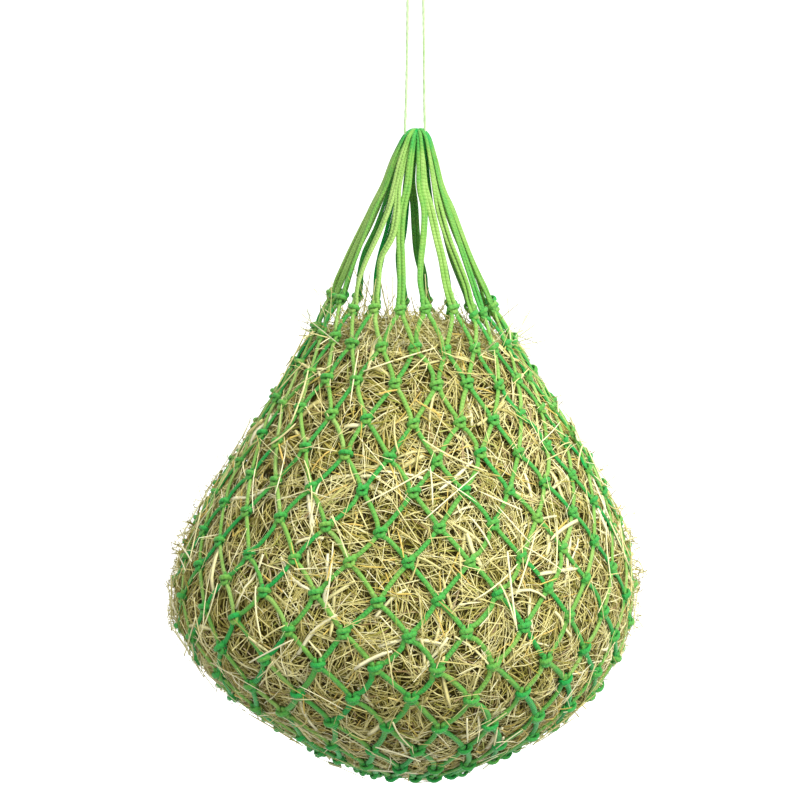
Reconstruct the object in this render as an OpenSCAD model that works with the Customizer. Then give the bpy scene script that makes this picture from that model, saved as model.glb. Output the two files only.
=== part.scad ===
// Hay net: a knotted twine bag, filled with hay and hung by its draw cord.
// Z points up. The origin is the inside top of the hanging loop, where a hook bears.
// The draw cord comes down in two falls, turns through the bunched top loops and
// holds them shut. Each knotted round hangs from the round above it.

/* [Net] */
// Number of meshes around the net
meshes_around = 24; // [20:4:28]
// Length of one side of a mesh at the belly, from knot to knot
mesh_side = 53; // [50:1:56]
// Thickness of the netting twine
twine_d = 4.8; // [3:0.1:5]
// Diameter of the lump that one netting knot makes
knot_d = 14; // [11:0.5:14]

/* [Filled shape] */
// Radius of the ring of top knots, where the long top loops begin
mouth_r = 95; // [80:1:110]
// Radius of the net at its widest
belly_r = 266; // [240:1:280]
// Drop from the top of the bunch to the top knots
mouth_drop = 198; // [180:1:220]
// Drop from the top of the bunch to the widest place
belly_drop = 548; // [520:1:570]
// Drop from the top of the bunch to the underside
base_drop = 755; // [740:1:770]

/* [Hanging] */
// Thickness of the draw cord
cord_d = 3; // [2.5:0.1:3.2]

/* [Hidden] */
$fn = 48;
full_turn = 360;
net_rounds = 16;
hair_gap = 0.05; // room between pieces that bear on each other
bunch_drop = 231; // from the origin down to the top of the bunched loops
bar_inset = 3; // a mesh side starts this far from the middle of its knot

// How much longer the mesh sides are than at the belly, by round: the rounds are knotted
// tighter at the mouth and longer under the belly
side_change = [[0, -7], [10, 0], [13, 10], [16, 4]];

// The bunch: the tops of the loops, hooped over the turn of the draw cord
bunch_r = 16;
bunch_w = 12;
pivot_z = -bunch_drop - bunch_r;
tunnel_r = cord_d / 2 + 0.5;
skirt_top_r = 18;
skirt_bottom_r = 33;
skirt_top_z = pivot_z - 4;
skirt_bottom_z = pivot_z - 40;
spin_gap = 1;

// The base: the last meshes are drawn onto a small ring of twine
base_hole_r = 20.5;
base_ring_r = base_hole_r - twine_d - 0.1;
base_knot_d = 8;
base_knot_at = [0, base_ring_r - 3, -4]; // from the middle of the ring

// The hay stays this far inside the line of the netting
hay_inset = 7.5;

// Route of the hanging loop, up from the knot, over the hook and down again
loop_route = [
    [-3.2, 0, -50], [-4.2, 0, -44], [-5.2, 0, -38], [-6.2, 0, -32], [-7.2, 0, -26],
    [-8.2, 0, -20], [-9.1, 0, -14], [-9.5, 0, -8], [-8.2, 0, -3.3], [-4.8, 0, 0.2],
    [0, 0, 1.5],
    [4.8, 0, 0.2], [8.2, 0, -3.3], [9.5, 0, -8], [9.1, 0, -14], [8.2, 0, -20],
    [7.2, 0, -26], [6.2, 0, -32], [5.2, 0, -38], [4.2, 0, -44], [3.2, 0, -50]
];
// Route of the left fall, from the knot down to the bunch
left_route = [
    [-8, 0, -70], [-8.1, 0, -80], [-8.3, 0, -90], [-8.4, 0, -100], [-8.5, 0, -110],
    [-8.6, 0, -120], [-8.7, 0, -130], [-8.9, 0, -140], [-9, 0, -150], [-9.1, 0, -160],
    [-9.3, 0, -170], [-9.5, 0, -180], [-9.7, 0, -190], [-10, 0, -200], [-10.3, 0, -210],
    [-10.7, 0, -220], [-11.2, 0, -230]
];
// Route of the right fall
right_route = [
    [9, 0, -70], [9.2, 0, -80], [9.4, 0, -90], [9.6, 0, -100], [9.8, 0, -110],
    [9.9, 0, -120], [10, 0, -130], [10.1, 0, -140], [10.2, 0, -150], [10.3, 0, -160],
    [10.4, 0, -170], [10.5, 0, -180], [10.6, 0, -190], [10.7, 0, -200], [10.8, 0, -210],
    [11, 0, -220], [11.2, 0, -230]
];
// Route of the turn through the bunched loops
bend_route = [
    [-11.2, 0, -235.5], [-11.2, 0, -238], [-11, 0, -240.5], [-10.1, 0, -243],
    [-8.5, 0, -245.2], [-6.4, 0, -246.6], [-4, 0, -247], [0, 0, -247], [4, 0, -247],
    [6.4, 0, -246.6], [8.5, 0, -245.2], [10.1, 0, -243], [11, 0, -240.5],
    [11.2, 0, -238], [11.2, 0, -235.5]
];
cord_sides = 8;
loop_knot_r = 7.5;
loop_knot_z = -58.5;
loop_knot_half = 3;

// Colours
TWINE = [0.27, 0.75, 0.33];
CORD = [0.68, 0.84, 0.58];
HAY = [0.76, 0.68, 0.44];

// Side profile of the filled net: a cone that rounds out to the belly, then a round
// base. Each stretch is one cubic curve of [radius, drop below the bunch].
upper_curve = [
    [mouth_r, mouth_drop],
    [mouth_r + 50, mouth_drop + 112],
    [belly_r - 4, belly_drop - 108],
    [belly_r, belly_drop]
];
lower_curve = [
    [belly_r, belly_drop],
    [belly_r, belly_drop + 78],
    [belly_r - 130, base_drop - 14],
    [base_hole_r, base_drop]
];
curve_steps = 60;

function cubic(c, t) =
    pow(1 - t, 3) * c[0] + 3 * pow(1 - t, 2) * t * c[1]
    + 3 * (1 - t) * t * t * c[2] + pow(t, 3) * c[3];

function unit(v) = v / norm(v);

// The profile as one list of [radius, z] points
profile = concat(
    [for (i = [0 : curve_steps]) cubic(upper_curve, i / curve_steps)],
    [for (i = [1 : curve_steps]) cubic(lower_curve, i / curve_steps)]
);
profile_rz = [for (p = profile) [p[0], -bunch_drop - p[1]]];

// Distance along the profile at each of its points
profile_s = [
    for (i = 0, s = 0; i < len(profile_rz);
         i = i + 1, s = i < len(profile_rz) ? s + norm(profile_rz[i] - profile_rz[i - 1]) : s)
        s
];
profile_end = profile_s[len(profile_s) - 1];
r_table = [for (i = [0 : len(profile_rz) - 1]) [profile_s[i], profile_rz[i][0]]];
z_table = [for (i = [0 : len(profile_rz) - 1]) [profile_s[i], profile_rz[i][1]]];

function on_profile(s) = [lookup(s, r_table), lookup(s, z_table)];

// A mesh side spans half a mesh sideways, and what is left of its length goes down
function next_level(k, s) =
    let (
        side = mesh_side + lookup(k, side_change),
        half_mesh = PI * lookup(s + 0.4 * mesh_side, r_table) / meshes_around
    )
    s + sqrt(pow(side, 2) - pow(half_mesh, 2));

raw_levels = [for (k = 0, s = 0; k <= net_rounds; s = next_level(k, s), k = k + 1) s];
level_s = [for (s = raw_levels) s * profile_end / raw_levels[net_rounds]];

// Knots of level k lie half a mesh round from those of the levels above and below
function level_turn(k) = (k % 2 == 0 ? 0.5 : 0) * full_turn / meshes_around;

function knot_at(k, i) =
    let (p = on_profile(level_s[k]), a = i * full_turn / meshes_around + level_turn(k))
    [p[0] * cos(a), p[0] * sin(a), p[1]];

// Slope of the profile at level k, as the tilt of its normal from straight up
function level_tilt(k) =
    let (
        step = profile_end / 200,
        a = on_profile(max(0, level_s[k] - step)),
        b = on_profile(min(profile_end, level_s[k] + step))
    )
    atan2(b[0] - a[0], a[1] - b[1]);

// A straight eight-sided bar between two points
module bar(from, to, r) {
    v = to - from;
    translate(from)
        rotate([0, acos(v[2] / norm(v)), atan2(v[1], v[0])])
            cylinder(h = norm(v), r = r, $fn = 8);
}

// One mesh side, drawn a little short of the point at each end
module mesh_bar(from, to, short_from, short_to) {
    u = unit(to - from);
    bar(from + short_from * u, to - short_to * u, twine_d / 2);
}

// Half of a netting knot: the round below holds the lower half, the round above the upper
module half_knot(k, i, upper) {
    p = knot_at(k, i);
    a = i * full_turn / meshes_around + level_turn(k);
    r = knot_d / 2;
    translate(p)
        rotate([0, 0, a])
            rotate([0, -level_tilt(k), 0])
                intersection() {
                    sphere(r = r);
                    translate([-r, -r, upper ? hair_gap / 2 : -r])
                        cube([2 * r, 2 * r, r - hair_gap / 2]);
                }
}

// A cord as a tube along a route that lies in the XZ plane
module cord_tube(route, d) {
    last = len(route) - 1;
    points = [
        for (i = [0 : last])
            let (
                t = unit(route[min(last, i + 1)] - route[max(0, i - 1)]),
                side = cross(t, [0, 1, 0])
            )
            for (j = [0 : cord_sides - 1])
                let (a = (j + 0.5) * full_turn / cord_sides)
                route[i] + d / 2 * (cos(a) * [0, 1, 0] + sin(a) * side)
    ];
    faces = concat(
        [[for (j = [0 : cord_sides - 1]) cord_sides - 1 - j]],
        [[for (j = [0 : cord_sides - 1]) last * cord_sides + j]],
        [
            for (i = [0 : last - 1], j = [0 : cord_sides - 1], half = [0, 1])
                let (
                    a = i * cord_sides + j,
                    b = i * cord_sides + (j + 1) % cord_sides,
                    c = b + cord_sides,
                    e = a + cord_sides
                )
                half == 0 ? [a, b, c] : [a, c, e]
        ]
    );
    polyhedron(points = points, faces = faces);
}

// The loop of draw cord that goes over a hook
module hanging_loop() {
    color(CORD) cord_tube(loop_route, cord_d);
}

// The knot that joins both falls under the loop
module loop_knot() {
    color(CORD)
        for (side = [-1, 1])
            translate([side * loop_knot_half, 0, loop_knot_z]) sphere(r = loop_knot_r);
}

module draw_cord_left() {
    color(CORD) cord_tube(left_route, cord_d);
}

module draw_cord_right() {
    color(CORD) cord_tube(right_route, cord_d);
}

// The turn of the draw cord that runs through every top loop
module mouth_bend() {
    color(CORD) cord_tube(bend_route, cord_d);
}

// The tops of the loops, bunched into a hood over the draw cord
module mouth_bunch() {
    color(TWINE)
        difference() {
            union() {
                translate([-bunch_w / 2, 0, pivot_z])
                    rotate([0, 90, 0]) cylinder(h = bunch_w, r = bunch_r);
                translate([0, 0, skirt_bottom_z])
                    cylinder(h = skirt_top_z - skirt_bottom_z, r1 = skirt_bottom_r, r2 = skirt_top_r);
            }
            translate([-bunch_w, 0, pivot_z])
                rotate([0, 90, 0]) cylinder(h = 2 * bunch_w, r = tunnel_r);
        }
}

// Where one of the loop legs leaves the bunch: even legs on the outer circle, odd legs
// on the inner one
leg_circles = [0.92 * skirt_bottom_r, 0.7 * skirt_bottom_r];
function leg_top(n) =
    let (r = leg_circles[n % 2], a = (n + 0.5) * full_turn / (2 * meshes_around))
    [r * cos(a), r * sin(a), skirt_bottom_z - spin_gap];

// The legs of the long top loops, two from each top knot
module top_loops() {
    color(TWINE)
        for (i = [0 : meshes_around - 1])
            union() {
                half_knot(0, i, true);
                for (leg = [0, 1]) mesh_bar(knot_at(0, i), leg_top(2 * i + leg), bar_inset, 0);
            }
}

// One round of netting: lower halves of its own knots, a zigzag of mesh sides, and
// the upper halves of the knots of the next level. The last round ends in bare turns.
module net_round(k) {
    last = k == net_rounds;
    color(TWINE)
        for (i = [0 : meshes_around - 1])
            union() {
                half_knot(k - 1, i, false);
                for (side = [0, 1])
                    let (j = i + (k % 2 == 1 ? side : side - 1))
                    mesh_bar(knot_at(k - 1, i), knot_at(k, j), bar_inset, last ? 0 : bar_inset);
                if (last) translate(knot_at(k, i)) sphere(d = twine_d);
                else half_knot(k, i, true);
            }
}

// The ring of twine that draws the last meshes together, with its knot
module base_ring() {
    z = knot_at(net_rounds, 0)[2];
    color(TWINE)
        union() {
            translate([0, 0, z])
                rotate_extrude() translate([base_ring_r, 0]) circle(d = twine_d);
            translate([0, 0, z] + base_knot_at) sphere(d = base_knot_d);
        }
}

// Profile of the hay: the netting's own profile moved inwards, under a low dome
hay_step = 6;
hay_side = [
    for (i = [hay_step : hay_step : len(profile_rz) - 2])
        let (t = unit(profile_rz[i + 1] - profile_rz[i]))
        profile_rz[i] + hay_inset * [t[1], -t[0]]
];
hay_top = [[0, 7], [40, 5], [75, 1]]; // a low dome over the topmost side point
hay_bottom_z = -bunch_drop - base_drop + hay_inset;
hay_outline = concat(
    [for (p = hay_top) [p[0], hay_side[0][1] + p[1]]],
    hay_side,
    [[0, hay_bottom_z]]
);

module hay_fill() {
    color(HAY) rotate_extrude() polygon(hay_outline);
}

function round_name(k) = str("net_round_", k < 10 ? "0" : "", k);

hanging_loop();
loop_knot();
draw_cord_left();
draw_cord_right();
mouth_bend();
mouth_bunch();
top_loops();
base_ring();
hay_fill();
for (k = [1 : net_rounds])
    net_round(k);
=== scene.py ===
import math

import bpy
import numpy as np
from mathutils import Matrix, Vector, kdtree


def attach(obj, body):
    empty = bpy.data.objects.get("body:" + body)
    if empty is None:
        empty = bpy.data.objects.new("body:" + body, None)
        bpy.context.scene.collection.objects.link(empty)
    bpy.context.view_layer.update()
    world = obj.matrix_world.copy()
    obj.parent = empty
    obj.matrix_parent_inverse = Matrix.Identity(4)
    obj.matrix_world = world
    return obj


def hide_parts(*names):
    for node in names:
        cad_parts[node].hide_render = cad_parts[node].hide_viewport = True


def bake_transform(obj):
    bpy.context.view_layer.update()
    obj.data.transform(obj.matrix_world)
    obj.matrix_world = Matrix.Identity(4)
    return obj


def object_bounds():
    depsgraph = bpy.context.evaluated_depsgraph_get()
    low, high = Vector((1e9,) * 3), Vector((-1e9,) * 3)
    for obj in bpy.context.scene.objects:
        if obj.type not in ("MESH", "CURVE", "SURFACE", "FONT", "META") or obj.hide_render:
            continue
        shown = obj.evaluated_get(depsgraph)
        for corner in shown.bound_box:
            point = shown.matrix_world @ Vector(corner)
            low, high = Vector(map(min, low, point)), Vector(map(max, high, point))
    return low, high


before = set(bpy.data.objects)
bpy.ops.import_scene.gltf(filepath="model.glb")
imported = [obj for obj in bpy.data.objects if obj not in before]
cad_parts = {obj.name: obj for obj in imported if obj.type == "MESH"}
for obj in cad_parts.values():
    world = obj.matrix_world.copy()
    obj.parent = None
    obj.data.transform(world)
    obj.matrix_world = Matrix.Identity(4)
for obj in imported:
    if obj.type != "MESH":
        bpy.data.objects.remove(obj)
cad_low, cad_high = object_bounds()
scene = bpy.context.scene
rng = np.random.default_rng(7)
MM = 0.001
FULL_TURN = 2 * math.pi
CORD_PITCH = 11 * MM
BRAID_PITCH = 4.2 * MM

# ---------------------------------------------------------------- camera and light

VIEW_ELEVATION = math.radians(9.5)
VIEW_DISTANCE = 4.0
VIEW_WIDTH = 0.92
BUNCH_TOP = -0.231
target = Vector((-0.017, 0, BUNCH_TOP - 0.315))
BAG_MIDDLE = Vector((0, 0, -0.62))
camera_data = bpy.data.cameras.new("camera")
camera = bpy.data.objects.new("camera", camera_data)
scene.collection.objects.link(camera)
scene.camera = camera
camera_data.sensor_width = 36
camera_data.lens = 36 * VIEW_DISTANCE / VIEW_WIDTH
camera_data.clip_end = 100
back = Vector((0, -math.cos(VIEW_ELEVATION), math.sin(VIEW_ELEVATION)))
camera.location = target + VIEW_DISTANCE * back
camera.rotation_euler = (-back).to_track_quat("-Z", "Y").to_euler()


def area_light(name, place, size, watts, colour=(1, 1, 1)):
    data = bpy.data.lights.new(name, "AREA")
    data.shape, data.size, data.energy, data.color = "DISK", size, watts, colour
    light = bpy.data.objects.new(name, data)
    light.location = place
    aim = BAG_MIDDLE - Vector(place)
    light.rotation_euler = aim.to_track_quat("-Z", "Y").to_euler()
    scene.collection.objects.link(light)


area_light("key_light", (1.9, -2.2, 1.5), 1.0, 112, (1, 0.985, 0.95))
area_light("fill_light", (-2.4, -2.4, 0.6), 1.8, 8)
area_light("top_light", (0.3, 0.4, 1.6), 1.2, 18)
# A bright room: most light comes from above and from the right, little from below
BRIGHT_SIDE = (0.46, -0.32, 0.83)
DIMMEST, BRIGHTEST = 0.34, 1.40
world = bpy.data.worlds.new("studio")
scene.world = world
world.use_nodes = True
sky = world.node_tree
place = sky.nodes.new("ShaderNodeTexCoord")
toward = sky.nodes.new("ShaderNodeVectorMath")
toward.operation = "DOT_PRODUCT"
toward.inputs[1].default_value = BRIGHT_SIDE
glow = sky.nodes.new("ShaderNodeMapRange")
for socket, value in zip(glow.inputs[1:5], (-0.75, 0.75, DIMMEST, BRIGHTEST)):
    socket.default_value = value
sky.links.new(place.outputs["Generated"], toward.inputs[0])
sky.links.new(toward.outputs["Value"], glow.inputs[0])
sky.links.new(glow.outputs[0], sky.nodes["Background"].inputs["Strength"])
sky.nodes["Background"].inputs["Color"].default_value = (1, 1, 0.985, 1)
scene.view_settings.view_transform = "Standard"

# ---------------------------------------------------------------- materials


class Nodes:
    """A short way to build a node tree."""

    def __init__(self, name):
        self.material = bpy.data.materials.new(name)
        self.material.use_nodes = True
        self.tree = self.material.node_tree
        self.shader = self.tree.nodes["Principled BSDF"]

    def add(self, kind, **settings):
        node = self.tree.nodes.new(kind)
        for key, value in settings.items():
            setattr(node, key, value)
        return node

    def plug(self, source, target):
        self.tree.links.new(source, target)

    def feed(self, socket, value):
        if isinstance(value, (int, float)):
            socket.default_value = value
        else:
            self.plug(value, socket)

    def math(self, operation, *values):
        node = self.add("ShaderNodeMath", operation=operation)
        for socket, value in zip(node.inputs, values):
            self.feed(socket, value)
        return node.outputs[0]

    def attribute(self, name, output="Fac"):
        return self.add("ShaderNodeAttribute", attribute_name=name).outputs[output]

    def noise(self, scale, detail=2.0, roughness=0.5, vector=None):
        node = self.add("ShaderNodeTexNoise")
        node.inputs["Scale"].default_value = scale
        node.inputs["Detail"].default_value = detail
        node.inputs["Roughness"].default_value = roughness
        if vector is None:
            vector = self.add("ShaderNodeTexCoord").outputs["Object"]
        self.plug(vector, node.inputs["Vector"])
        return node.outputs["Fac"]

    def ramp(self, factor, stops):
        node = self.add("ShaderNodeValToRGB")
        band = node.color_ramp
        while len(band.elements) < len(stops):
            band.elements.new(0.5)
        for element, (place, colour) in zip(band.elements, stops):
            element.position, element.color = place, (*colour, 1)
        self.plug(factor, node.inputs["Fac"])
        return node.outputs["Color"]

    def mix(self, factor, a, b, blend="MIX"):
        node = self.add("ShaderNodeMix", data_type="RGBA", blend_type=blend)
        self.feed(node.inputs[0], factor)
        for socket, value in ((node.inputs[6], a), (node.inputs[7], b)):
            if isinstance(value, tuple):
                socket.default_value = (*value, 1)
            else:
                self.plug(value, socket)
        return node.outputs[2]

    def bump(self, height, strength, distance):
        node = self.add("ShaderNodeBump")
        node.inputs["Strength"].default_value = strength
        node.inputs["Distance"].default_value = distance
        self.plug(height, node.inputs["Height"])
        self.plug(node.outputs["Normal"], self.shader.inputs["Normal"])


def braid_pattern(n, pitch, strands):
    """Height of a braid: two sets of strands that cross round the twine."""
    lay = n.add("ShaderNodeSeparateXYZ")
    n.plug(n.attribute("lay", "Vector"), lay.inputs[0])
    turn = n.math("MULTIPLY", n.math("ARCTAN2", lay.outputs[1], lay.outputs[0]), strands)
    along = n.math("MULTIPLY", lay.outputs[2], FULL_TURN / pitch)
    left = n.math("SINE", n.math("ADD", along, turn))
    right = n.math("SINE", n.math("SUBTRACT", along, turn))
    return n.math("MAXIMUM", left, right)


def twine_material():
    n = Nodes("braided_twine")
    height = braid_pattern(n, BRAID_PITCH, 2)
    blotch = n.noise(60, 3)
    strand = n.add("ShaderNodeMapping")
    strand.inputs["Scale"].default_value = (1.6, 1.6, 70)
    n.plug(n.attribute("lay", "Vector"), strand.inputs["Vector"])
    streak = n.noise(1.5, 2, 0.5, strand.outputs[0])
    tone = n.math("ADD", n.attribute("tone"), n.math("MULTIPLY_ADD", blotch, 0.36, -0.18))
    tone = n.math("ADD", tone, n.math("MULTIPLY_ADD", streak, 0.5, -0.25))
    # The lowest tones turn a brighter green again: painted light, as if shining through the twine that
    # lies in shade at the back and low down
    colour = n.ramp(
        tone,
        [
            (0.0, (0.008, 0.38, 0.062)),
            (0.12, (0.005, 0.30, 0.052)),
            (0.35, (0.045, 0.325, 0.048)),
            (0.65, (0.175, 0.385, 0.060)),
            (1.0, (0.34, 0.52, 0.14)),
        ],
    )
    # Painted shade: the colour is darkened in the braid's grooves, on top of the bump
    painted_groove_shade = n.math("MULTIPLY_ADD", height, 0.09, 0.91)
    shade = n.add("ShaderNodeCombineColor")
    for socket in shade.inputs[:3]:
        n.plug(painted_groove_shade, socket)
    n.plug(n.mix(0.8, colour, shade.outputs[0], "MULTIPLY"), n.shader.inputs["Base Color"])
    fibre = n.noise(1500, 2)
    n.bump(n.math("ADD", height, n.math("MULTIPLY", fibre, 0.7)), 0.55, 0.5 * MM)
    n.plug(n.math("MULTIPLY_ADD", fibre, 0.25, 0.42), n.shader.inputs["Roughness"])
    n.shader.inputs["Sheen Weight"].default_value = 0.12
    n.shader.inputs["Sheen Roughness"].default_value = 0.4
    n.shader.inputs["Specular IOR Level"].default_value = 0.22
    return n.material


def cord_material():
    n = Nodes("twisted_cord")
    lay = n.add("ShaderNodeSeparateXYZ")
    n.plug(n.attribute("lay", "Vector"), lay.inputs[0])
    fibres = 14
    turn = n.math("MULTIPLY", n.math("ARCTAN2", lay.outputs[1], lay.outputs[0]), fibres)
    along = n.math("MULTIPLY", lay.outputs[2], fibres * FULL_TURN / CORD_PITCH)
    fibre = n.math("SINE", n.math("ADD", along, turn))
    tone = n.math("ADD", n.noise(220, 3), n.math("MULTIPLY", fibre, 0.07))
    colour = n.ramp(
        tone,
        [(0.2, (0.30, 0.52, 0.20)), (0.5, (0.46, 0.66, 0.33)), (0.8, (0.62, 0.78, 0.47))],
    )
    n.plug(colour, n.shader.inputs["Base Color"])
    n.bump(fibre, 0.4, 0.15 * MM)
    n.plug(n.math("MULTIPLY_ADD", fibre, 0.08, 0.5), n.shader.inputs["Roughness"])
    n.shader.inputs["Sheen Weight"].default_value = 0.2
    n.shader.inputs["Specular IOR Level"].default_value = 0.35
    return n.material


def stalk_material(name, stops, roughness=0.6):
    """Hay: each stalk has its own tone, with streaks along it and darker joints."""
    n = Nodes(name)
    streak = n.noise(420, 3, 0.6)
    tone = n.math("ADD", n.attribute("tone"), n.math("MULTIPLY_ADD", streak, 0.5, -0.25))
    n.plug(n.ramp(tone, stops), n.shader.inputs["Base Color"])
    n.bump(n.noise(1300, 2), 0.35, 0.2 * MM)
    n.plug(n.math("MULTIPLY_ADD", streak, 0.3, roughness - 0.15), n.shader.inputs["Roughness"])
    n.shader.inputs["Specular IOR Level"].default_value = 0.14
    return n.material


def core_shade_material():
    # Painted shade: the core is coloured near black to dark olive to stand for the shade deep in the
    # hay
    n = Nodes("hay_core_painted_shade")
    place = n.add("ShaderNodeTexCoord").outputs["Object"]
    crossed = n.math("ADD", n.noise(160, 4, 0.65, place), n.noise(520, 3, 0.6, place))
    colour = n.ramp(
        n.math("MULTIPLY", crossed, 0.5),
        [
            (0.36, (0.022, 0.016, 0.001)),
            (0.50, (0.085, 0.067, 0.005)),
            (0.64, (0.24, 0.20, 0.035)),
        ],
    )
    n.plug(colour, n.shader.inputs["Base Color"])
    n.bump(crossed, 0.8, 2 * MM)
    n.plug(n.math("MULTIPLY_ADD", crossed, 0.1, 0.75), n.shader.inputs["Roughness"])
    return n.material


# ---------------------------------------------------------------- meshes


def make_piece(
    name, points, faces, material, body, replaced=(), smooth=True, tone=None, lay=None
):
    """A mesh object from points and arrays of faces, one array for each number of corners."""
    mesh = bpy.data.meshes.new(name)
    faces = [f for f in faces if len(f)]
    sizes = np.concatenate([np.full(len(f), f.shape[1]) for f in faces]).astype(np.int32)
    starts = np.concatenate([[0], np.cumsum(sizes)[:-1]]).astype(np.int32)
    corners = np.concatenate([f.ravel() for f in faces]).astype(np.int32)
    mesh.vertices.add(len(points))
    mesh.vertices.foreach_set("co", np.asarray(points, np.float32).ravel())
    mesh.loops.add(len(corners))
    mesh.loops.foreach_set("vertex_index", corners)
    mesh.polygons.add(len(sizes))
    mesh.polygons.foreach_set("loop_start", starts)
    mesh.update(calc_edges=True)
    mesh.polygons.foreach_set("use_smooth", np.full(len(sizes), smooth))
    if tone is not None:
        values = np.asarray(tone, np.float32)
        mesh.attributes.new("tone", "FLOAT", "POINT").data.foreach_set("value", values)
    if lay is not None:
        values = np.asarray(lay, np.float32).ravel()
        mesh.attributes.new("lay", "FLOAT_VECTOR", "POINT").data.foreach_set("vector", values)
    mesh.validate()
    piece = bpy.data.objects.new(name, mesh)
    scene.collection.objects.link(piece)
    mesh.materials.append(material)
    if body:
        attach(piece, body)
    if replaced:
        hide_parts(*replaced)
    return piece


def unit(v):
    return v / np.maximum(np.linalg.norm(v, axis=-1, keepdims=True), 1e-12)


def smooth_line(points, per, closed=False):
    """A Catmull-Rom line through the points, with per steps between neighbours."""
    p = np.asarray(points, float)
    if closed:
        before, a, b, after = np.roll(p, 1, 0), p, np.roll(p, -1, 0), np.roll(p, -2, 0)
    else:
        ext = np.vstack([2 * p[0] - p[1], p, 2 * p[-1] - p[-2]])
        before, a, b, after = ext[:-3], ext[1:-2], ext[2:-1], ext[3:]
    t = (np.arange(per) / per)[None, :, None]
    before, a, b, after = (x[:, None] for x in (before, a, b, after))
    line = 0.5 * (
        2 * a
        + (b - before) * t
        + (2 * before - 5 * a + 4 * b - after) * t**2
        + (3 * a - before - 3 * b + after) * t**3
    )
    line = line.reshape(-1, p.shape[1])
    return line if closed else np.vstack([line, p[-1:]])


def wall(rings, sides, closed=False):
    """The four-cornered faces between rings of points."""
    i, j = np.meshgrid(np.arange(rings if closed else rings - 1), np.arange(sides), indexing="ij")
    i2, j2 = (i + 1) % rings, (j + 1) % sides
    quads = [i * sides + j, i * sides + j2, i2 * sides + j2, i2 * sides + j]
    return np.stack(quads, -1).reshape(-1, 4)


def end_caps(rings, sides):
    """A face over the first ring of points and one over the last."""
    return np.array([np.arange(sides)[::-1], (rings - 1) * sides + np.arange(sides)])


def tube(line, normals, half_wide, half_thick, sides, closed=False, lobes=0, pitch=1.0, depth=0.0):
    """Points, faces and lay (cos, sin, distance) of a tube round a line. Lobes twist round it."""
    n = len(line)
    if closed:
        tangent = unit(np.roll(line, -1, 0) - np.roll(line, 1, 0))
    else:
        tangent = unit(np.gradient(line, axis=0))
    side = unit(np.cross(tangent, normals))
    out = np.cross(side, tangent)
    steps = np.linalg.norm(np.diff(line, axis=0), axis=1)
    along = np.concatenate([[0], np.cumsum(steps)])
    angle = np.arange(sides) * FULL_TURN / sides
    size = np.ones((n, sides))
    if lobes:
        size = 1 + depth * np.cos(lobes * (angle[None] - along[:, None] * FULL_TURN / pitch / lobes))
    c, s = np.cos(angle)[None, :, None], np.sin(angle)[None, :, None]
    wide = np.broadcast_to(np.asarray(half_wide, float), (n,))[:, None, None]
    thick = np.broadcast_to(np.asarray(half_thick, float), (n,))[:, None, None]
    points = line[:, None] + size[..., None] * (side[:, None] * c * wide + out[:, None] * s * thick)
    caps = np.zeros((0, sides), int) if closed else end_caps(n, sides)
    lay = np.stack(np.broadcast_arrays(c[..., 0], s[..., 0], along[:, None]), -1).reshape(-1, 3)
    return points.reshape(-1, 3), wall(n, sides, closed), caps, lay


class Bundle:
    """Several tubes that become one mesh."""

    def __init__(self):
        self.points, self.quads, self.caps, self.lay, self.tone, self.count = [], [], [], [], [], 0

    def add(self, made, tone):
        points, quads, caps, lay = made
        self.points.append(points)
        self.quads.append(quads + self.count)
        self.caps.append(caps + self.count)
        self.lay.append(lay)
        self.tone.append(np.repeat(tone, len(points) // np.size(tone)))
        self.count += len(points)

    def piece(self, name, material, body, slot, replaced=()):
        caps = [c for c in self.caps if len(c)]
        faces = [np.concatenate(self.quads)] + ([np.concatenate(caps)] if caps else [])
        return make_piece(
            name, np.concatenate(self.points), faces, material, body, replaced,
            tone=np.concatenate(self.tone), lay=np.concatenate(self.lay),
        )


# ---------------------------------------------------------------- the draw cord

CORD_R, CORD_SIDES = 1.5 * MM, 12
CORD_TONE = 0.5
FRONT = np.array([0.0, -1.0, 0.0])
cord_look = cord_material()


def xz(points):
    """Points in the plane of the cord, given in millimetres to the right and upwards."""
    return np.array([(x, 0, z) for x, z in points]) * MM


loop_route = xz(
    [(-3.2, -52), (-3.2, -50), (-4.2, -44), (-5.2, -38), (-6.2, -32), (-7.2, -26), (-8.2, -20),
     (-9.1, -14), (-9.5, -8), (-8.2, -3.3), (-4.8, 0.2), (0, 1.5), (4.8, 0.2), (8.2, -3.3),
     (9.5, -8), (9.1, -14), (8.2, -20), (7.2, -26), (6.2, -32), (5.2, -38), (4.2, -44),
     (3.2, -50), (3.2, -52)]
)
left_route = xz(
    [(-3.4, -62), (-6.6, -66), (-8, -70), (-8.1, -80), (-8.3, -90), (-8.4, -100), (-8.5, -110),
     (-8.6, -120), (-8.7, -130), (-8.9, -140), (-9, -150), (-9.1, -160), (-9.3, -170),
     (-9.5, -180), (-9.7, -190), (-10, -200), (-10.3, -210), (-10.7, -220), (-11.2, -230),
     (-11.2, -238)]
)
right_route = xz(
    [(3.4, -62), (7.2, -66), (9, -70), (9.2, -80), (9.4, -90), (9.6, -100), (9.8, -110),
     (9.9, -120), (10, -130), (10.1, -140), (10.2, -150), (10.3, -160), (10.4, -170),
     (10.5, -180), (10.6, -190), (10.7, -200), (10.8, -210), (11, -220), (11.2, -230),
     (11.2, -238)]
)
bend_route = xz(
    [(-11.2, -235.5), (-11.2, -238), (-11, -240.5), (-10.1, -243), (-8.5, -245.2), (-6.4, -246.6),
     (-4, -247), (0, -247), (4, -247), (6.4, -246.6), (8.5, -245.2), (10.1, -243), (11, -240.5),
     (11.2, -238), (11.2, -235.5)]
)


def cord_tube(line, facing):
    """A cord of three strands."""
    return tube(line, facing, CORD_R, CORD_R, CORD_SIDES, lobes=3, pitch=CORD_PITCH, depth=0.09)


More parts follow.
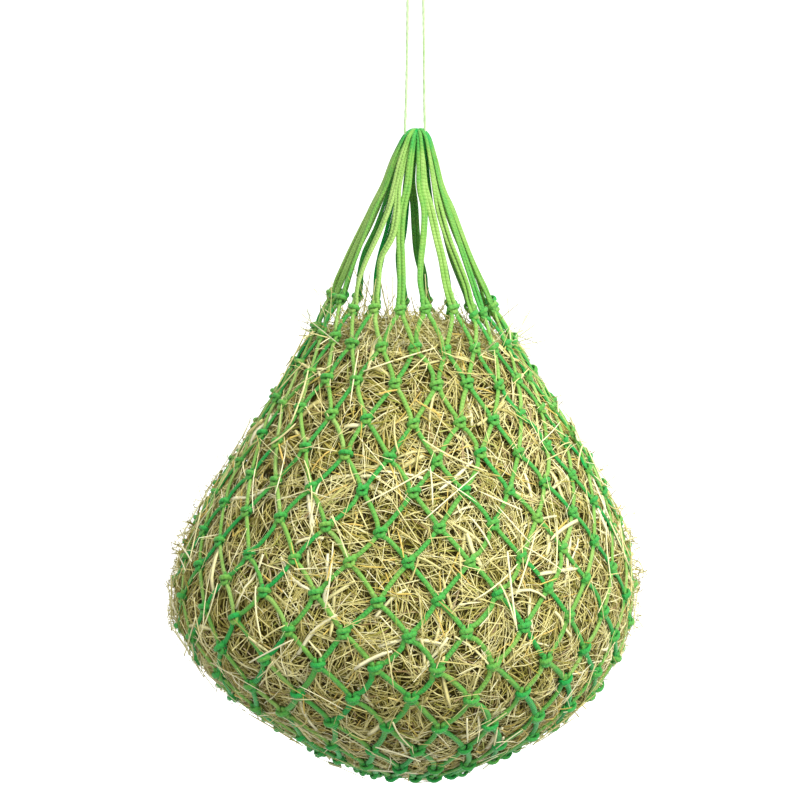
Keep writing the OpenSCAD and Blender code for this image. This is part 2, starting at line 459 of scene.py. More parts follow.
def cord_piece(name, route, body, node, steps):
    line = smooth_line(route, steps)
    bundle = Bundle()
    bundle.add(cord_tube(line, np.tile(FRONT, (len(line), 1))), CORD_TONE)
    return bundle.piece(name, cord_look, body, "cord", (node,)), line


left_fall, left_line = cord_piece("fall_left", left_route, "draw_cord", "draw_cord_left", 8)
right_fall, right_line = cord_piece("fall_right", right_route, "draw_cord", "draw_cord_right", 8)
top_loop, loop_line = cord_piece("hook_loop", loop_route, "hanging_loop", "hanging_loop", 6)
cord_turn, turn_line = cord_piece("cord_turn", bend_route, "mouth_bend", "mouth_bend", 3)

# The knot under the hanging loop: a barrel of turns round the four stretches of cord
KNOT_TURNS = 3.4
KNOT_CENTRE = np.array([0, 0, -58.5]) * MM
t = np.linspace(0, 1, 110)
swell = np.sin(np.pi * t) ** 0.35
knot_angle = t * KNOT_TURNS * FULL_TURN
barrel = np.stack(
    [
        (2.2 + 3.4 * swell) * 1.25 * np.cos(knot_angle),
        (2.2 + 3.0 * swell) * np.sin(knot_angle),
        -53.3 - 10.4 * t + 0.5 * np.sin(2 * knot_angle),
    ],
    1,
) * MM
knot_bundle = Bundle()
knot_bundle.add(cord_tube(barrel, unit(barrel - KNOT_CENTRE)), CORD_TONE)
for x0, x1, y in ((-3.2, -3.6, 1.2), (3.2, 3.6, -1.2)):
    through = [(x0, 0, -51.5), (x0 * 0.8, y, -56), (x1 * 0.8, -y, -61), (x1, 0, -65)]
    stretch = smooth_line(np.array(through) * MM, 6)
    knot_bundle.add(cord_tube(stretch, np.tile(FRONT, (len(stretch), 1))), CORD_TONE)
cord_knot = knot_bundle.piece("cord_knot", cord_look, "loop_knot", "cord", ("loop_knot",))


# ---------------------------------------------------------------- shape of the filled net

MESHES, ROUNDS, SIDE = 24, 16, 53 * MM
# Control points of the outline above and below the belly: radius, distance below the bunch
UPPER = np.array([(95, 198), (145, 310), (262, 440), (266, 548)]) * MM
LOWER = np.array([(266, 548), (266, 626), (136, 741), (20.5, 755)]) * MM


def cubic(c, t):
    """A Bezier curve from the first of four points to the last."""
    t = t[:, None]
    first, last = (1 - t) ** 3 * c[0], t**3 * c[3]
    return first + 3 * (1 - t) ** 2 * t * c[1] + 3 * (1 - t) * t * t * c[2] + last


curve_steps = np.linspace(0, 1, 61)
profile = np.concatenate([cubic(UPPER, curve_steps), cubic(LOWER, curve_steps[1:])])
profile_r, profile_z = profile[:, 0], BUNCH_TOP - profile[:, 1]
profile_s = np.concatenate([[0], np.cumsum(np.hypot(np.diff(profile_r), np.diff(profile_z)))])
S_END = profile_s[-1]


def radius_at(s):
    return np.interp(s, profile_s, profile_r)


def height_at(s):
    return np.interp(s, profile_s, profile_z)


# A round hangs lower than the last by the height of a mesh, from its side and its width
marks = [0.0]
for k in range(ROUNDS):
    side_length = SIDE + np.interp(k, [0, 10, 13, 16], [-7, 0, 10, 4]) * MM
    half_mesh = math.pi * radius_at(marks[-1] + 0.4 * SIDE) / MESHES
    marks.append(marks[-1] + math.sqrt(side_length**2 - half_mesh**2))
level_s = np.array(marks) * S_END / marks[-1]


def bell(x, centre, wide):
    """A smooth bump of height 1."""
    return np.exp(-(((x - centre) / wide) ** 2))


def lean(z):
    """How far the bag hangs to the left or right of its cord."""
    places = [-0.99, -0.93, -0.87, -0.80, -0.74, -0.66, -0.60, -0.45, -0.38, -0.30, -0.24]
    return np.interp(z, places, [0, 6, -3, -9, -9, -6, -3, 0, -4, -3, 0]) * MM


def settle(p):
    """The lie of the filled bag: soft lumps, and a mouth that is lower on the right and at the back."""
    p = np.array(p, float)
    x, y, z = p[..., 0].copy(), p[..., 1].copy(), p[..., 2].copy()
    angle = np.arctan2(y, x)
    waves = 0.010 * np.sin(2 * angle + 0.7) + 0.009 * np.sin(3 * angle + 9 * z)
    waves = waves + 0.006 * np.sin(5 * angle - 17 * z)
    lump = 1 + bell(z, -0.74, 0.2) * waves
    mouth = np.clip((z + 0.62) / 0.19, 0, 1)
    right = np.clip(x / 0.08, 0, 1)
    slim = 0.03 * right * np.clip((z + 0.50) / 0.07, 0, 1) + 0.04 * bell(z, -0.93, 0.035)
    tuck = 0.022 * bell(z, -0.80, 0.07) + 0.025 * bell(z, -0.93, 0.04) + 0.16 * bell(z, -0.975, 0.03)
    slim += right * tuck
    p[..., 0] = x * lump * (1 - slim) + lean(z)
    p[..., 1] = y * lump
    p[..., 2] = z - mouth * (0.07 * x + 0.17 * np.maximum(y, 0))
    return p


# How much wider the meshes are at the front and back than at the sides, level by level
SHARE_LEVELS = [0, 3, 4, 6, 8, 10, 12, 14, 16]
SHARES = [0.27, 0.22, 0.11, 0.08, 0.01, -0.04, 0.08, 0.26, 0.2]
front_share = np.interp(np.arange(ROUNDS + 1), SHARE_LEVELS, SHARES)


def azimuth(level, index):
    """Direction of a knot round the bag. Every other level is shifted by half a mesh."""
    a = (index + (0.5 if level % 2 == 0 else 0.0)) * FULL_TURN / MESHES
    return a + front_share[level] / 2 * np.sin(2 * (a + math.pi / 2))


def surface_axes(dr, dz, a):
    """Directions to the right, down and outward on a round surface whose outline runs along dr, dz."""
    size = np.hypot(dr, dz)
    dr, dz = dr / size, dz / size
    right = np.stack([-np.sin(a), np.cos(a), np.zeros_like(a)], -1)
    down = np.stack([dr * np.cos(a), dr * np.sin(a), dz], -1)
    return right, down, np.cross(down, right)


def frame_at(s, a):
    """Directions to the right, upwards and outward on the net's surface."""
    s = np.asarray(s, float)
    before, after = np.maximum(s - 4 * MM, 0), np.minimum(s + 4 * MM, S_END)
    dr = radius_at(after) - radius_at(before)
    dz = height_at(after) - height_at(before)
    right, down, out = surface_axes(dr, dz, a)
    return right, -down, out


def on_net(s, a):
    r = radius_at(s)
    return np.stack([r * np.cos(a), r * np.sin(a), height_at(s)], -1)


# How far the knots stray from an even net
KNOT_DRIFT = 2.2 * MM
LOOSER_TOP = 1.6
TOP_LIFT = 3 * MM
UP = np.array([0, 0, 1])
index = np.arange(MESHES)
knots, knot_frames = [], []
for level in range(ROUNDS + 1):
    a = azimuth(level, index)
    s = np.full(MESHES, level_s[level])
    loose = 1.0 if level else LOOSER_TOP
    if level < ROUNDS:
        s = s + rng.normal(0, KNOT_DRIFT * loose, MESHES)
        a = a + rng.normal(0, KNOT_DRIFT, MESHES) / max(radius_at(level_s[level]), 0.05)
    s = np.clip(s, 0, S_END)
    places = settle(on_net(s, a))
    if level == 0:
        places = places + UP * rng.normal(0, TOP_LIFT, MESHES)[:, None]
    knots.append(places)
    knot_frames.append(frame_at(s, a))

# ---------------------------------------------------------------- knotted netting

TWINE_WIDE, TWINE_THICK = 2.6 * MM, 1.75 * MM
TWINE_SIDES = 8
LEAD = 8.5 * MM
# A sheet bend, as points of [right, up, out]: the loop of the round above, and the
# turn that the round below takes round it. The lists of directions hold the twine's flat side.
BIGHT = np.array([
    (-3.0, 5.2, 0.2), (-2.5, 1.2, 0.8), (-2.9, -2.4, 1.4), (0, -3.8, 2.2),
    (2.9, -2.4, 1.4), (2.5, 1.2, 0.8), (3.0, 5.2, 0.2),
]) * MM
BIGHT_FLAT = np.array([(0, 0, 1)] * 7, float)
WRAP = np.array([
    (-3.4, -4.6, -0.4), (-1.6, -2.6, -2.4), (1.6, 0.2, -3.4), (4.9, 2.0, -1.4),
    (4.4, 2.5, 2.0), (0.6, 1.5, 4.2), (-3.6, 0.5, 3.4), (-5.3, -0.2, 0.2),
    (-3.0, -0.6, -3.0), (0.8, -1.8, -3.2), (2.6, -3.2, -1.4), (3.6, -4.8, -0.2),
]) * MM
WRAP_FLAT = np.array([
    (0, -0.3, 1), (-0.3, -0.6, 1), (0.2, 0, -1), (1, 0, -0.6), (0.8, 0, 0.8), (0, 0.1, 1),
    (-0.7, 0, 0.8), (-1, 0, 0), (-0.5, 0, -1), (0.2, 0, -1), (0.5, -0.5, -0.6), (0, -0.3, 1),
], float)
WRAP_FLAT[3:11] = unit(WRAP_FLAT[3:11])
# The loops of the last round pass round the ring under the net instead
LAST_BIGHT = np.array([
    (-1.3, 3.5, 1.0), (-0.8, -0.5, -1.0), (0, -3.2, -2.8), (0.8, -0.5, -1.0), (1.3, 3.5, 1.0),
]) * MM


def to_place(local, origin, axes):
    right, up, out = axes
    return origin + local[:, :1] * right + local[:, 1:2] * up + local[:, 2:3] * out


def to_direction(local, axes):
    right, up, out = axes
    return local[:, :1] * right + local[:, 1:2] * up + local[:, 2:3] * out


def turned(local, angle):
    """Points of [right, up, out] turned round the outward direction."""
    c, s = math.cos(angle), math.sin(angle)
    x, y = local[:, 0], local[:, 1]
    return np.stack([x * c - y * s, x * s + y * c, local[:, 2]], 1)


def bar_points(start, end, normal_a, normal_b, bow):
    """Control points between two knots: the side of a mesh lies on the hay and bows a little."""
    t = np.array([0.28, 0.5, 0.72])[:, None]
    normal = unit(normal_a * (1 - t) + normal_b * t)
    across = unit(np.cross(normal, end - start))
    shape = 4 * t * (1 - t)
    return start * (1 - t) + end * t + normal * (1.2 * MM) * shape + across * bow * shape, normal


class Strand:
    """The twine of one round: its points, the way its flat side faces, and its tone."""

    def __init__(self):
        self.points, self.flats, self.tones = [], [], []

    def lay(self, places, flats, tone):
        self.points.append(places)
        self.flats.append(flats)
        self.tones.append(np.full(len(places), tone))

    def lead(self, knot, other, out, tone):
        """The point where the twine has left one knot for another."""
        self.lay((knot + unit(other - knot) * LEAD + out * 0.3 * MM)[None], out[None], tone)

    def shape(self, local, flats, knot, axes, tone):
        """A part of a knot, from the knot's own axes to its place."""
        self.lay(to_place(local, knot, axes), to_direction(flats, axes), tone)


twine_look = twine_material()
bar_samples = []


def knot_axes(level, i):
    return tuple(x[i % MESHES] for x in knot_frames[level])


def sample_bar(start, end):
    """Keeps places along a side of a mesh, where the hay is pressed in."""
    bar_samples.extend(start * (1 - f) + end * f for f in np.linspace(0.05, 0.95, 9))


def lay_mesh(strand, k, i):
    """One mesh of round k: the turn round the loop above, a side down, a loop and a side up."""
    upper, upper_axes = knots[k - 1][i], knot_axes(k - 1, i)
    right_index = (i + 1) % MESHES if k % 2 == 1 else i
    left_index = i if k % 2 == 1 else (i - 1) % MESHES
    lower, lower_axes = knots[k][right_index], knot_axes(k, right_index)
    lower_left = knots[k][left_index]
    after, after_axes = knots[k - 1][(i + 1) % MESHES], knot_axes(k - 1, i + 1)
    size = rng.uniform(1.12, 1.38) * np.interp(k, [9, 13], [1, 1.1])
    wrap = turned(WRAP * size, rng.normal(0, 0.14))
    wrap[[0, -1]] = WRAP[[0, -1]] * 1.1
    # Painted light and shade: sides that run down towards the middle of the bag are painted paler, and
    # those that run out from it darker, as the light falls on them
    painted_light_shift = 0.26 * upper[0] / max(np.hypot(upper[0], upper[1]), 0.02)
    # Painted shade: each round is darker than the one above it, down to the bottom of the bag; the rest
    # of the tone differs at random
    tone = np.interp(k, [1, 4, 10, 16], [0.60, 0.56, 0.48, 0.36]) + rng.normal(0, 0.09)
    sway = np.interp(k, [1, 7, 13], [0, 1.0, 2.5]) * MM
    bow = rng.normal(0, 1.5 * MM, 2) + sway * np.array([1, -1])
    strand.lead(upper, lower_left, upper_axes[2], tone)
    strand.shape(wrap, WRAP_FLAT, upper, upper_axes, tone - 0.12)
    strand.lead(upper, lower, upper_axes[2], tone - painted_light_shift)
    strand.lay(*bar_points(upper, lower, upper_axes[2], lower_axes[2], bow[0]), tone - painted_light_shift)
    sample_bar(upper, lower)
    if k == ROUNDS:
        strand.shape(LAST_BIGHT, BIGHT_FLAT[:5], lower, lower_axes, tone - 0.05)
    else:
        strand.lead(lower, upper, lower_axes[2], tone - painted_light_shift)
        strand.shape(BIGHT * size, BIGHT_FLAT, lower, lower_axes, tone - 0.05)
        strand.lead(lower, after, lower_axes[2], tone + painted_light_shift)
    strand.lay(*bar_points(lower, after, lower_axes[2], after_axes[2], bow[1]), tone + painted_light_shift)
    sample_bar(lower, after)


def net_round(k):
    strand = Strand()
    for i in range(MESHES):
        lay_mesh(strand, k, i)
    line = smooth_line(np.concatenate(strand.points), 2, closed=True)
    facing = unit(smooth_line(np.concatenate(strand.flats), 2, closed=True))
    shade = smooth_line(np.concatenate(strand.tones)[:, None], 2, closed=True)[:, 0]
    girth = np.interp(k, [1, 8, 12, 16], [1.0, 1.03, 1.30, 1.20])
    wide, thick = TWINE_WIDE * girth, TWINE_THICK * girth
    bundle = Bundle()
    bundle.add(tube(line, facing, wide, thick, TWINE_SIDES, closed=True), shade)
    bundle.piece(f"netting_{k:02d}", twine_look, "net", "twine", (f"net_round_{k:02d}",))


for k in range(1, ROUNDS + 1):
    net_round(k)

# ---------------------------------------------------------------- long top loops

# The way of a leg down from the top of the bunch: distance out from its ridge, height
HOOD = np.array([
    (0.0, -234.8), (6.5, -237.0), (13.0, -243.0), (18.5, -253.0), (26.5, -271.0), (34.5, -297.0),
]) * MM
LEG_PLACES = (0.2, 0.42, 0.62, 0.8, 0.92)
KNOT_TOP = 5.2 * MM
LEGS_APART = 2.9 * MM


def leg_path(leg, a, a_top, dip, start, wave_at, roll_at):
    """One leg of a long loop, from inside the bunch over the ridge and down to its knot."""
    ridge = np.array([(2.5 + 4.0 * math.cos(a)) * MM + rng.normal(0, 0.8 * MM), 0, 0])
    sink = rng.uniform(0, 2.2 * MM) + (1.8 * MM if leg > 0 else 0)
    spread = a_top + leg * math.radians(3.0)
    heading = np.array([math.cos(spread), math.sin(spread), 0])
    sideways = np.array([-math.sin(spread), math.cos(spread), 0])
    path = [
        ridge - heading * 5.5 * MM + np.array([0, 0, -249 * MM]),
        ridge - heading * 4.5 * MM + np.array([0, 0, -240.5 * MM - sink - dip]),
    ]
    for out, z in HOOD:
        inner = np.interp(z, [-0.300, -0.248], [0, 1]) * sink * 1.3
        drop = (sink if out < 4 * MM else 0) + dip * max(0, 1 - out / (18 * MM))
        centre = ridge * max(0, 1 - out / (30 * MM))
        path.append(centre + heading * (out - inner * (out > 0)) + np.array([0, 0, z - drop]))
    top_out, top_z = HOOD[-1]
    top = np.array([top_out * math.cos(a_top), top_out * math.sin(a_top), top_z])
    for f in LEG_PLACES:
        roll = roll_at(f)
        pair_side = sideways * math.cos(roll) + heading * math.sin(roll)
        apart = pair_side * leg * rng.uniform(2.1, 2.6) * MM
        path.append(top * (1 - f) + start * f + sideways * wave_at(f) + apart)
    return [q + np.array([lean(q[2]), 0, 0]) for q in path]


def long_loop(i):
    """One long loop: its two legs, joined by the loop that the first round is tied to."""
    knot, axes = knots[0][i], knot_axes(0, i)
    a = azimuth(0, np.array(i))
    a_top = a + rng.normal(0, 0.07)
    at_front = max(0, 1 - abs(math.cos(a)) - 0.3) * (math.sin(a) < 0)
    dip = 8.0 * MM * at_front ** 1.5
    sway, double_sway = rng.normal(0, 1.0, 4)[:2]
    kink = rng.normal(0, 2.3 * MM)
    kink_at = rng.uniform(0.6, 0.8)
    pair_roll = rng.normal(0, 0.45), rng.normal(0, 0.5)
    start = knot - np.array([lean(knot[2]), 0, 0]) + axes[1] * 6.0 * MM

    def wave_at(f):
        wave = (sway * math.sin(math.pi * f) + double_sway * math.sin(2 * math.pi * f)) * 1.8 * MM
        return wave + kink * bell(f, kink_at, 0.13)

    def roll_at(f):
        return pair_roll[0] + pair_roll[1] * f

    legs = [leg_path(leg, a, a_top, dip, start, wave_at, roll_at) for leg in (-1, 1)]
    path = legs[0] + [knot + axes[1] * KNOT_TOP - axes[0] * LEGS_APART]
    path += list(to_place(BIGHT[1:-1], knot, axes))
    path += [knot + axes[1] * KNOT_TOP + axes[0] * LEGS_APART] + legs[1][::-1]
    path = np.array(path)
    facing = unit(path * np.array([1, 1, 0]) + axes[2] * 0.02)
    line = smooth_line(path, 4)
    facing = unit(smooth_line(facing, 4))
    height = line[:, 2]
    # Painted light and shade by height: lightest over the shoulder of the hood, painted shade where the
    # legs sink into the bunch at the top and a little lower down
    shade = np.interp(height, [-0.43, -0.36, -0.26, -0.25, -0.238], [0.60, 0.76, 0.72, 0.50, 0.36])
    # Painted shade: the loops at the back are darker
    shade = shade + rng.normal(0, 0.10) - 0.42 * max(0, math.sin(a))
    wide = np.interp(height, [-0.43, -0.28, -0.25], [TWINE_WIDE, TWINE_WIDE, 0.85 * TWINE_WIDE])
    return tube(line, facing, wide, TWINE_THICK, TWINE_SIDES), shade


loops = Bundle()
for i in range(MESHES):
    loops.add(*long_loop(i))
loops_piece = loops.piece("loop_legs", twine_look, None, "twine", ("top_loops",))
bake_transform(loops_piece)

# What shows between the legs inside the hood: the loops' inner turns, packed together
hood = Bundle()
INNER_TURNS, INNER_SPACING = 14, 1.15
for j in range(INNER_TURNS):
    x = (j - (INNER_TURNS - 1) / 2) * INNER_SPACING * MM
    height = -240.5 - 0.03 * (x / MM) ** 2
    arc = []
    for f in np.linspace(-1, 1, 13):
        fall = 30 * (1 - math.cos(f * 1.5))
        arc.append((x * (1 + 0.7 * abs(f)), 11.0 * MM * math.sin(f * 1.5), (height - fall) * MM))
    line = smooth_line(np.array(arc), 3)
    facing = unit(line - np.array([0, 0, -0.262]))
    hood.add(tube(line, facing, 2.2 * MM, 1.8 * MM, TWINE_SIDES), 0.2 + 0.1 * rng.random())
hood.piece("hood_core", twine_look, "mouth_bunch", "twine", ("mouth_bunch",))

# ---------------------------------------------------------------- ring under the net

# Radius in millimetres
RING_RADIUS = 15.6
# As dark as the lowest round: the painted shade at the bottom of the bag
RING_TONE = 0.35
RING_WIDE, RING_THICK = 1.9 * MM, 1.5 * MM
ring = Bundle()
base_z = float(np.mean([k[2] for k in knots[ROUNDS]]))
t = np.linspace(0, FULL_TURN, 49)[:-1]
outward = np.stack([np.cos(t), np.sin(t), np.zeros_like(t)], 1)
for offset, lift in ((0.0, 0.0), (0.9, -2.2)):
    wobble = (RING_RADIUS + offset + 0.5 * np.sin(3 * t + offset)) * MM
    z = base_z + (lift + 0.5 * np.sin(5 * t + 2 * offset)) * MM
    line = np.stack([wobble * np.cos(t), wobble * np.sin(t), z], 1)
    ring.add(tube(line, outward, RING_WIDE, RING_THICK, TWINE_SIDES, closed=True), RING_TONE)
ring_knot = np.array([0, 12.6 * MM, base_z - 3.2 * MM])
ring_axes = (np.array([1.0, 0, 0]), np.array([0, 0.7, 0.7]), np.array([0, 0.7, -0.7]))
line = smooth_line(to_place(WRAP * 0.62, ring_knot, ring_axes), 3)
facing = unit(smooth_line(to_direction(WRAP_FLAT, ring_axes), 3))
ring.add(tube(line, facing, RING_WIDE, RING_THICK, TWINE_SIDES), RING_TONE)
ring.piece("ring_of_twine", twine_look, "net", "twine", ("base_ring",))

# ---------------------------------------------------------------- hay

near_twine = kdtree.KDTree(len(bar_samples))
for i, p in enumerate(bar_samples):
    near_twine.insert(p, i)
near_twine.balance()

# The hay's own outline: a low dome on top, then the line of the netting, then the underside
dome = np.array([(0, -453), (30, -454.5), (55, -458), (78, -463), (97, -470)]) * MM
side = profile_s > 0.050
hay_r = np.concatenate([dome[:, 0], profile_r[side], [8 * MM, 0]])
hay_z = np.concatenate([dome[:, 1], profile_z[side], [profile_z[-1], profile_z[-1] + 0.5 * MM]])
hay_u = np.concatenate([[0], np.cumsum(np.hypot(np.diff(hay_r), np.diff(hay_z)))])
U_END = hay_u[-1]


def hay_frame(u, a):
    """Places on the hay's outline, with the directions to the right, down and outward."""
    before, after = np.maximum(u - 5 * MM, 0), np.minimum(u + 5 * MM, U_END)
    dr = np.interp(after, hay_u, hay_r) - np.interp(before, hay_u, hay_r)
    dz = np.interp(after, hay_u, hay_z) - np.interp(before, hay_u, hay_z)
    r, z = np.interp(u, hay_u, hay_r), np.interp(u, hay_u, hay_z)
    return np.stack([r * np.cos(a), r * np.sin(a), z], -1), *surface_axes(dr, dz, a)


def swirl(p, seed, size):
    """A smooth field between about -1 and 1, the sum of a few waves as long as size."""
    r = np.random.default_rng(seed)
    total = np.zeros(len(p))
    for _ in range(4):
        k = unit(r.normal(size=3)) * FULL_TURN / size * r.uniform(0.7, 1.4)
        total += np.sin(p @ k + r.uniform(0, FULL_TURN))
    return total / 2.4


# The imported middle, a lumpy closed body painted dark: painted shade that shows only in the gaps
# between the stalks
CORE_ROWS, CORE_COLUMNS = 96, 200
CORE_DEPTH = 17
u = np.linspace(0, U_END, CORE_ROWS + 2)[1:-1]
a = np.arange(CORE_COLUMNS) * FULL_TURN / CORE_COLUMNS
uu, aa = np.meshgrid(u, a, indexing="ij")
base, _, _, normal = hay_frame(uu.ravel(), aa.ravel())
lumps = 3.0 * swirl(base, 3, 0.05) + 1.6 * swirl(base, 4, 0.022) + 0.9 * swirl(base, 5, 0.01)
core_points = settle(base + normal * ((lumps - CORE_DEPTH) * MM)[:, None])
poles = settle(np.array([(0, 0, hay_z[0] - 15 * MM), (0, 0, hay_z[-1] + 15 * MM)]))
core_sides = wall(CORE_ROWS, CORE_COLUMNS)[:, [0, 3, 2, 1]]
first_row = np.arange(CORE_COLUMNS)
last_row = (CORE_ROWS - 1) * CORE_COLUMNS + first_row
top_pole = np.full(CORE_COLUMNS, CORE_ROWS * CORE_COLUMNS)
top_fan = np.stack([top_pole, first_row, np.roll(first_row, -1)], -1)
low_fan = np.stack([top_pole + 1, np.roll(last_row, -1), last_row], -1)
make_piece(
    "hay_core", np.concatenate([core_points, poles]),
    [core_sides, np.concatenate([top_fan, low_fan])], core_shade_material(), "net", ("hay_fill",),
)


def held(values, edge, room):
    """The values, with those far past the edge squeezed into the room beyond it."""
    past = (values - edge) / room
    return np.where(past > 0.3, edge + room * (0.3 + 0.7 * np.tanh((past - 0.3) / 0.7)), values)


def near_the_part(points):
    """The points, with what reaches far past the part drawn back towards it."""
    points[:, 0] = held(held(points[:, 0], cad_high[0], 20 * MM), cad_low[0], -23 * MM)
    points[:, 1] = held(held(points[:, 1], cad_high[1], 20 * MM), cad_low[1], -20 * MM)
    points[:, 2] = held(points[:, 2], cad_low[2], -16 * MM)
    return points


def scattered(count, region, r):
    """Places spread evenly over the hay: distances down its outline and directions round it."""
    u = r.random(count * 12) * U_END
    keep = r.random(len(u)) < np.interp(u, hay_u, hay_r) / hay_r.max()
    a = r.random(len(u)) * FULL_TURN
    if region is not None:
        keep &= region(u, a, r)
    return u[keep][:count], a[keep][:count]


def pressed_in(rise, base, gap, swell, on_twine):
    """Heights of stalks inside the net: low near the twine, but for a few that lie over it."""
    rise = rise + 2.0 * MM * swirl(base, 31, 0.042)[:, None]
    low = np.interp(base[:, 2], [-1.0, -0.84], [1, 0])[:, None]
    swollen = rise + (5.2 * swell - 4.2 - 1.2 * low) * MM
    ceiling = np.interp(gap, [2.5 * MM, 9 * MM], [-1.8 * MM, 9 * MM]) - 1.6 * MM * low
    return np.where(on_twine[:, None], 4.4 * MM + 0.5 * rise, np.minimum(swollen, ceiling))


def stalk_tones(base, raised, tone, r):
    """A tone for each stalk. Deep hay is painted darker than what lies on it, as painted shade, most of
    all left and low, and low hay is a little paler.
    """
    patch = 0.12 * swirl(base, 21, 0.12) + 0.09 * swirl(base, 33, 0.035)
    low = np.interp(base[:, 2], [-0.98, -0.80], [1, 0])
    # Painted shade and light: stalks pressed in are darker and raised ones paler, more so left and low
    painted_depth_shade = 0.04 + 0.24 * low + np.interp(base[:, 0], [-0.2, -0.05], [0.09, 0.0])
    patch += painted_depth_shade * np.clip(raised / (2.5 * MM), -1, 1)
    own = r.normal(tone[0], 1.2 * tone[1], len(base))
    return np.clip(own + patch + 0.07 * low, 0, 1)


def stalks(
    name, count, material, wide, long, out, thick=0.45, spread=0.7, tilt=0.06, rings=4, sides=3,
    over=False, loose=0.0, bulge=0.0, region=None, curve=0.05, tone=(0.5, 0.2),
):
    """Hay stalks on the hay's outline, each with its own width, length, height and bend.

    wide, long and out are ranges in millimetres. Stalks with over set lie outside the net, and
    loose is the share of the others that lie over the twine. bulge is how far the hay swells
    out in the middle of a mesh.
    """
    r = np.random.default_rng(sum(map(ord, name)))
    u, a = scattered(count, region, r)
    n = len(u)
    base, right, down, normal = hay_frame(u, a)
    length = r.uniform(*long, n) * MM
    width = r.uniform(*wide, n) * MM
    raised = r.uniform(*out, n) * MM
    straggle = r.normal(0, spread, n) * r.choice([0.38, 1.45], n, p=[0.66, 0.34])
    heading = math.pi * swirl(base, 11, 0.09) + straggle
    along = right * np.cos(heading)[:, None] + down * np.sin(heading)[:, None]
    pitch = r.normal(0, tilt, n)
    t = np.linspace(-0.5, 0.5, rings)[None, :]
    bow = (0.25 - t**2) * (r.normal(0, curve, n) * length)[:, None] * 2
    centre = base[:, None] + along[:, None] * (t * length[:, None])[..., None]
    centre = centre + np.cross(along, normal)[:, None] * bow[..., None]
    # Under the twine the hay is pressed in; in the middle of a mesh it swells out
    flat = settle(centre).reshape(-1, 3)
    gap = np.array([near_twine.find(p)[2] for p in flat]).reshape(n, rings)
    swell = np.clip((gap - 3 * MM) / (15 * MM), 0, 1)
    swell = swell * swell * (3 - 2 * swell)
    rise = raised[:, None] + pitch[:, None] * t * length[:, None]
    if not over:
        on_twine = r.random(n) < loose * np.interp(base[:, 2], [-0.92, -0.75], [0.6, 1])
        rise = pressed_in(rise, base, gap, swell, on_twine)
    rise = rise + bulge * MM * swell
    centre = centre + normal[:, None] * rise[..., None]
    tangent = unit(np.gradient(centre, axis=1))
    roll = r.normal(0, 0.5, n)[:, None, None]
    side = unit(np.cross(tangent, normal[:, None]) * np.cos(roll) + normal[:, None] * np.sin(roll))
    up = np.cross(side, tangent)
    taper = np.ones((n, rings))
    taper[:, -1] = r.uniform(0.25, 0.9, n)
    taper[:, 0] = r.uniform(0.6, 1.0, n)
    angle = np.arange(sides) * FULL_TURN / sides + math.pi / 2
    c, s = np.cos(angle), np.sin(angle)
    half = width[:, None, None] / 2 * taper[..., None]
    points = (
        centre[:, :, None]
        + side[:, :, None] * (half * c[None, None])[..., None] * 1.15
        + up[:, :, None] * (half * thick * s[None, None])[..., None]
    )
    points = near_the_part(settle(points.reshape(-1, 3)))
    first = (np.arange(n) * rings * sides)[:, None, None]
    quads = (first + wall(rings, sides)).reshape(-1, 4)
    ends = (first + end_caps(rings, sides)).reshape(-1, sides)
    tones = np.repeat(stalk_tones(base, raised, tone, r), rings * sides)
    return make_piece(
        name, points, [quads, ends], material, "net", smooth=sides > 3, tone=tones
    )


PALE, CREAM, STRAW = (0.73, 0.68, 0.34), (0.82, 0.78, 0.52), (0.57, 0.51, 0.20)
TAN, OLIVE, BROWN = (0.41, 0.36, 0.105), (0.26, 0.23, 0.035), (0.10, 0.080, 0.004)
GOLD, GREENISH, DARK = (0.60, 0.46, 0.11), (0.33, 0.36, 0.07), (0.045, 0.033, 0.001)
RUSSET, FADED = (0.27, 0.18, 0.075), (0.50, 0.40, 0.23)
BRIGHT_GOLD, BRIGHT_GREEN, DUN = (0.68, 0.48, 0.13), (0.48, 0.49, 0.18), (0.12, 0.085, 0.04)
under_look = stalk_material("hay_in_shade", [(0.0, DARK), (0.4, BROWN), (0.8, OLIVE), (1.0, TAN)])
olive_look = stalk_material("hay_olive", [(0.0, BROWN), (0.3, OLIVE), (0.65, TAN), (1.0, STRAW)])
straw_look = stalk_material("hay_straw", [(0.0, OLIVE), (0.3, TAN), (0.65, STRAW), (1.0, PALE)])
pale_look = stalk_material("hay_pale", [(0.0, TAN), (0.3, STRAW), (0.65, PALE), (1.0, CREAM)])
gold_look = stalk_material("hay_gold", [(0.0, OLIVE), (0.4, GOLD), (0.8, BRIGHT_GOLD), (1.0, PALE)])
green_look = stalk_material("hay_green", [(0.0, OLIVE), (0.5, GREENISH), (1.0, BRIGHT_GREEN)])
russet_look = stalk_material("hay_russet", [(0.0, BROWN), (0.45, RUSSET), (1.0, FADED)])
wisp_look = stalk_material("hay_wisps", [(0.0, DUN), (0.6, OLIVE), (1.0, STRAW)])

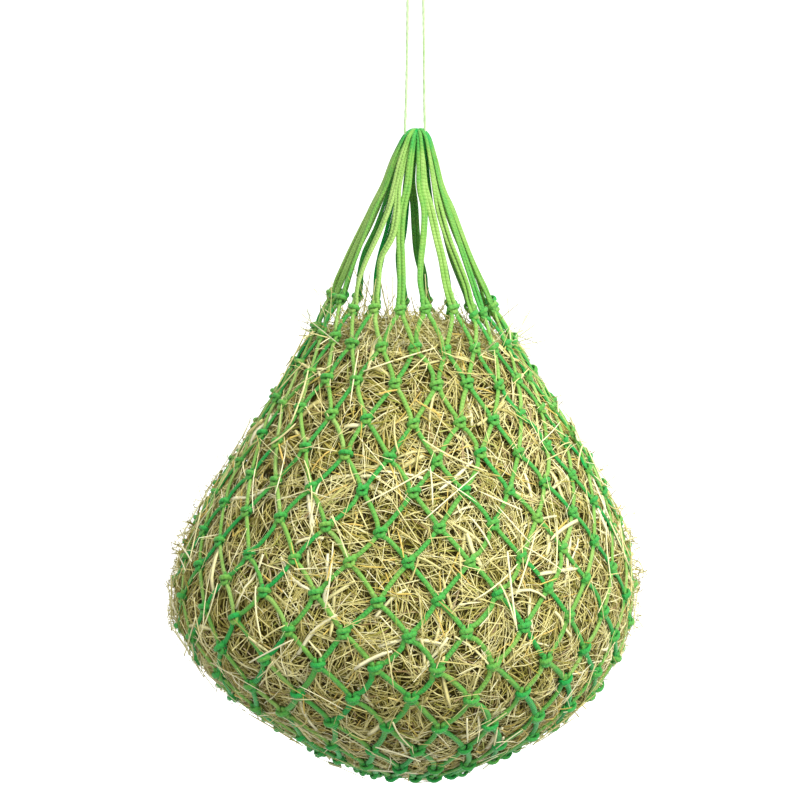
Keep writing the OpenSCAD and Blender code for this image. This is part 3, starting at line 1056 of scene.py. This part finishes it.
stalks("hay_under", 7000, under_look, (1.0, 2.4), (18, 42), (-9, -4), spread=0.9, rings=3)
stalks("hay_olive", 8000, olive_look, (0.8, 1.8), (16, 40), (-5.5, 0), rings=3, curve=0.09)
stalks("hay_russet", 2200, russet_look, (0.9, 2.2), (18, 44), (-5, 1.2), spread=0.8, rings=3)
stalks(
    "hay_straw", 9000, straw_look, (0.65, 1.6), (18, 52), (-4, 2), spread=0.65, loose=0.03,
    curve=0.035,
)
stalks(
    "hay_pale", 8000, pale_look, (0.6, 1.5), (20, 60), (-3, 3), spread=0.75, tilt=0.08, loose=0.07,
    curve=0.035,
)
stalks("hay_gold", 1000, gold_look, (1.0, 2.2), (20, 56), (-3, 2.5), spread=0.9, loose=0.06)
stalks("hay_green", 900, green_look, (0.9, 2.0), (18, 45), (-4, 1), spread=0.9, loose=0.03)
stalks(
    "hay_blades", 480, pale_look, (2.6, 5.0), (26, 70), (-1.5, 3.5), thick=0.16, spread=1.2,
    loose=0.05, rings=6, sides=4, curve=0.11, tone=(0.64, 0.18),
)
stalks(
    "hay_over", 260, pale_look, (1.0, 2.2), (35, 88), (4.5, 7), over=True, spread=1.5, tilt=0.03,
    rings=6, sides=5, thick=0.8, curve=0.08, tone=(0.62, 0.17),
)


def at_the_sides(u, a, r):
    z = np.interp(u, hay_u, hay_z)
    left = bell(a, math.pi - 0.16, 0.28) * (a < math.pi + 0.1) * bell(z, -0.79, 0.11)
    right = bell(a, 0.16, 0.28) * bell(z, -0.76, 0.08)
    return r.random(len(u)) < 0.02 + left + 0.8 * right


def at_the_rim(u, a, r):
    return (u > 0.03) & (u < 0.125)


# Hay that bulges out of the meshes on both sides of the belly
stalks(
    "hay_bulges", 3000, straw_look, (0.6, 1.5), (14, 34), (-4, 1), bulge=13, spread=1.5, tilt=0.3,
    region=at_the_sides, curve=0.1, tone=(0.46, 0.26),
)
stalks(
    "hay_tufts", 700, pale_look, (0.5, 1.3), (14, 36), (0, 5), bulge=15, spread=1.5, tilt=0.9,
    region=at_the_sides, curve=0.12, tone=(0.45, 0.26),
)

# Hay that stands up round the edge of the mouth
stalks(
    "hay_rim", 800, pale_look, (0.9, 1.9), (26, 60), (0, 8), thick=0.8, over=True, spread=1.5,
    tilt=1.3, region=at_the_rim, curve=0.12, tone=(0.5, 0.25),
)
stalks(
    "hay_wisps", 230, wisp_look, (0.45, 0.9), (26, 66), (3, 14), over=True, spread=1.5, tilt=0.7,
    region=at_the_rim, curve=0.25, rings=6, sides=4, thick=0.9,
)

# ---------------------------------------------------------------- floor

FLOOR_HEIGHT, REACH = -1.32, 60
corners = [(x * REACH, y * REACH, FLOOR_HEIGHT) for x, y in ((-1, -1), (1, -1), (1, 1), (-1, 1))]
floor_mesh = bpy.data.meshes.new("floor")
floor_mesh.from_pydata(corners, [], [(0, 1, 2, 3)])
floor = bpy.data.objects.new("floor", floor_mesh)
scene.collection.objects.link(floor)
floor_look = Nodes("pale_floor")
floor_look.plug(
    floor_look.ramp(floor_look.noise(3), [(0.3, (0.90, 0.90, 0.90)), (0.7, (0.93, 0.93, 0.93))]),
    floor_look.shader.inputs["Base Color"],
)
floor_look.shader.inputs["Roughness"].default_value = 0.9
floor_look.shader.inputs["Emission Color"].default_value = (1, 1, 1, 1)
floor_look.shader.inputs["Emission Strength"].default_value = 0.35
floor.visible_diffuse = False
floor_mesh.materials.append(floor_look.material)
